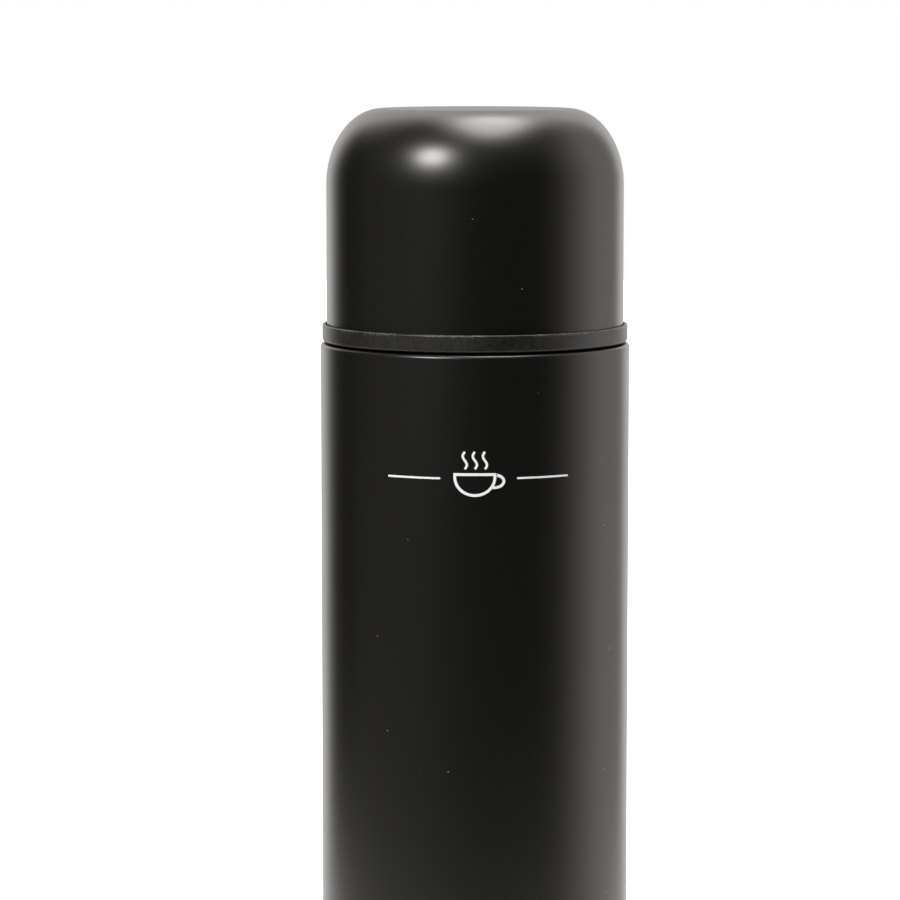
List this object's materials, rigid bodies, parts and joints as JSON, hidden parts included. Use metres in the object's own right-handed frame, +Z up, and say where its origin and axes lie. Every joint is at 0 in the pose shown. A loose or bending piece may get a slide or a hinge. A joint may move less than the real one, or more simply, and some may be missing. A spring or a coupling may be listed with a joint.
{
  "type": "vacuum flask",
  "caption": "Double-walled steel vacuum flask with a screw-on drinking cup over a threaded push-button pouring stopper.",
  "frame": {"origin": "centre of the foot, on the surface the flask stands on", "axes": "+Z up along the flask's axis; the stopper's pour notch faces -X and its release catch faces +X; -Y is the front"},
  "size_m": [0.07, 0.07, 0.245],
  "materials": {
    "black_paint": "satin black powder coat on steel",
    "bare_steel": "fine circular brushing on stainless steel",
    "liner_steel": "electropolished stainless steel",
    "copper": "bright copper foil",
    "solder": "dull cast solder",
    "getter_powder": "pressed grey metal powder",
    "black_plastic": "finely grained black polypropylene",
    "grey_plastic": "smooth grey polypropylene",
    "foam": "white closed-cell foam",
    "silicone": "smooth pale silicone",
    "spring_steel": "drawn stainless spring wire"
  },
  "bodies": {
    "bottle": {"outer_shell": "black_paint", "neck_shell": "bare_steel", "inner_bottle": "liner_steel", "copper_foil": "copper", "vacuum_base": "bare_steel", "vacuum_seal": "solder", "base_cover": "bare_steel", "getter_pellet": "getter_powder", "getter_strap": "spring_steel"},
    "stopper_seal": {"stopper_gasket": "silicone"},
    "stopper": {"stopper_housing": "black_plastic", "stopper_tube": "grey_plastic", "stopper_base": "grey_plastic", "stopper_foam": "foam", "release_bridge": "black_plastic", "button_spring": "spring_steel", "release_spring": "spring_steel"},
    "button": {"push_button": "black_plastic", "valve_stem": "grey_plastic", "valve_disc": "grey_plastic", "valve_gasket": "silicone"},
    "release": {"release_slide": "black_plastic"},
    "cup_seal": {"cup_gasket": "silicone"},
    "cup": {"cup_shell": "black_paint", "cup_liner": "black_plastic"}
  },
  "joints": [
    {"name": "stopper_rise", "type": "slide", "parent": "bottle", "child": "stopper_seal", "axis": [0, 0, 1], "range_m": [0, 0.03]},
    {"name": "stopper_turn", "type": "hinge", "parent": "stopper_seal", "child": "stopper", "pos_m": [0, 0, 0.2], "axis": [0, 0, 1], "range_deg": [0, 2160]},
    {"name": "cup_rise", "type": "slide", "parent": "stopper", "child": "cup_seal", "axis": [0, 0, 1], "range_m": [0, 0.04]},
    {"name": "cup_turn", "type": "hinge", "parent": "cup_seal", "child": "cup", "pos_m": [0, 0, 0.2], "axis": [0, 0, 1], "range_deg": [0, 2880]},
    {"name": "button_press", "type": "slide", "parent": "stopper", "child": "button", "axis": [0, 0, -1], "range_m": [0, 0.0035], "stiffness_N_per_m": 1000, "springref_m": -0.0035, "deforming": ["button_spring"]},
    {"name": "release_press", "type": "slide", "parent": "stopper", "child": "release", "axis": [-1, 0, 0], "range_m": [0, 0.0012], "stiffness_N_per_m": 800, "springref_m": -0.001, "deforming": ["release_spring"]}
  ],
  "couplings": [
    {"joint": "stopper_rise", "follows": "stopper_turn", "m_per_rad": 0.00079577},
    {"joint": "cup_rise", "follows": "cup_turn", "m_per_rad": 0.00079577}
  ]
}
